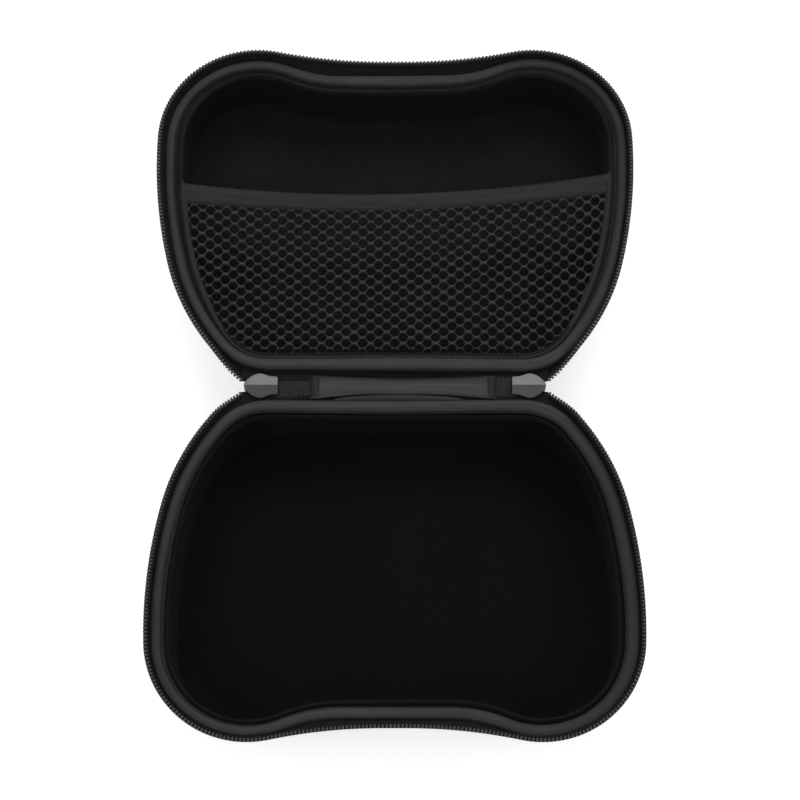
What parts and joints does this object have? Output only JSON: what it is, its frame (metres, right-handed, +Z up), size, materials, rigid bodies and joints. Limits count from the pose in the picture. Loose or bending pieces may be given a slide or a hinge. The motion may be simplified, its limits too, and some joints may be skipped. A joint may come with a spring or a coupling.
{
  "type": "controller carrying case",
  "caption": "Hard-shell zip case for a gaming controller, open flat: moulded base and lid joined by a hinge strip, mesh pocket in the lid.",
  "frame": {"origin": "centre of the open case's footprint on the table, under the middle of the hinge strip", "axes": "+Z up, +X along the hinge, +Y from the hinge toward the lid, base toward -Y"},
  "size_m": [0.1818, 0.2702, 0.0344],
  "materials": {
    "shell_fabric": "fine woven fabric laminated on moulded foam",
    "lining_fabric": "short-pile knitted lining",
    "binding_tape": "woven edge tape",
    "zip_tape": "woven tape",
    "zip_coil": "satin nylon",
    "hem_band": "woven band",
    "mesh_net": "knitted net",
    "strip_tape": "woven tape with stitches",
    "slider_metal": "satin grey coat"
  },
  "bodies": {
    "base": {"base_shell": "shell_fabric", "base_lining": "lining_fabric", "base_binding": "binding_tape", "base_zip_tape": "zip_tape", "base_zip_coil": "zip_coil"},
    "spine": {"hinge_panel": "zip_tape", "hinge_strip": "strip_tape", "left_zip_end": "zip_coil", "right_zip_end": "zip_coil", "left_bar_tack": "strip_tape", "right_bar_tack": "strip_tape"},
    "lid": {"lid_shell": "shell_fabric", "lid_lining": "lining_fabric", "lid_binding": "binding_tape", "lid_zip_tape": "zip_tape", "lid_zip_coil": "zip_coil", "pocket_hem": "hem_band", "pocket_edging": "hem_band", "mesh_panel": "mesh_net"},
    "left_slider": {"left_slider": "slider_metal"},
    "right_slider": {"right_slider": "slider_metal"},
    "left_pull": {"left_pull": "slider_metal"},
    "right_pull": {"right_pull": "slider_metal"}
  },
  "joints": [
    {"name": "spine_fold", "type": "hinge", "parent": "base", "child": "spine", "pos_m": [0, -0.005, 0.0296], "axis": [1, 0, 0], "range_deg": [0, 90]},
    {"name": "lid_fold", "type": "hinge", "parent": "spine", "child": "lid", "pos_m": [0, 0.005, 0.0296], "axis": [1, 0, 0], "range_deg": [0, 90]},
    {"name": "left_slide", "type": "slide", "parent": "spine", "child": "left_slider", "axis": [1, 0, 0], "range_m": [0, 0.0045]},
    {"name": "right_slide", "type": "slide", "parent": "spine", "child": "right_slider", "axis": [-1, 0, 0], "range_m": [0, 0.0045]},
    {"name": "left_pull_swing", "type": "hinge", "parent": "left_slider", "child": "left_pull", "pos_m": [-0.05, 0, 0.02485], "axis": [0, 1, 0], "range_deg": [-85, 85]},
    {"name": "right_pull_swing", "type": "hinge", "parent": "right_slider", "child": "right_pull", "pos_m": [0.05, 0, 0.02485], "axis": [0, 1, 0], "range_deg": [-58, 112]}
  ],
  "couplings": [
    {"joint": "lid_fold", "follows": "spine_fold", "ratio": 1}
  ]
}
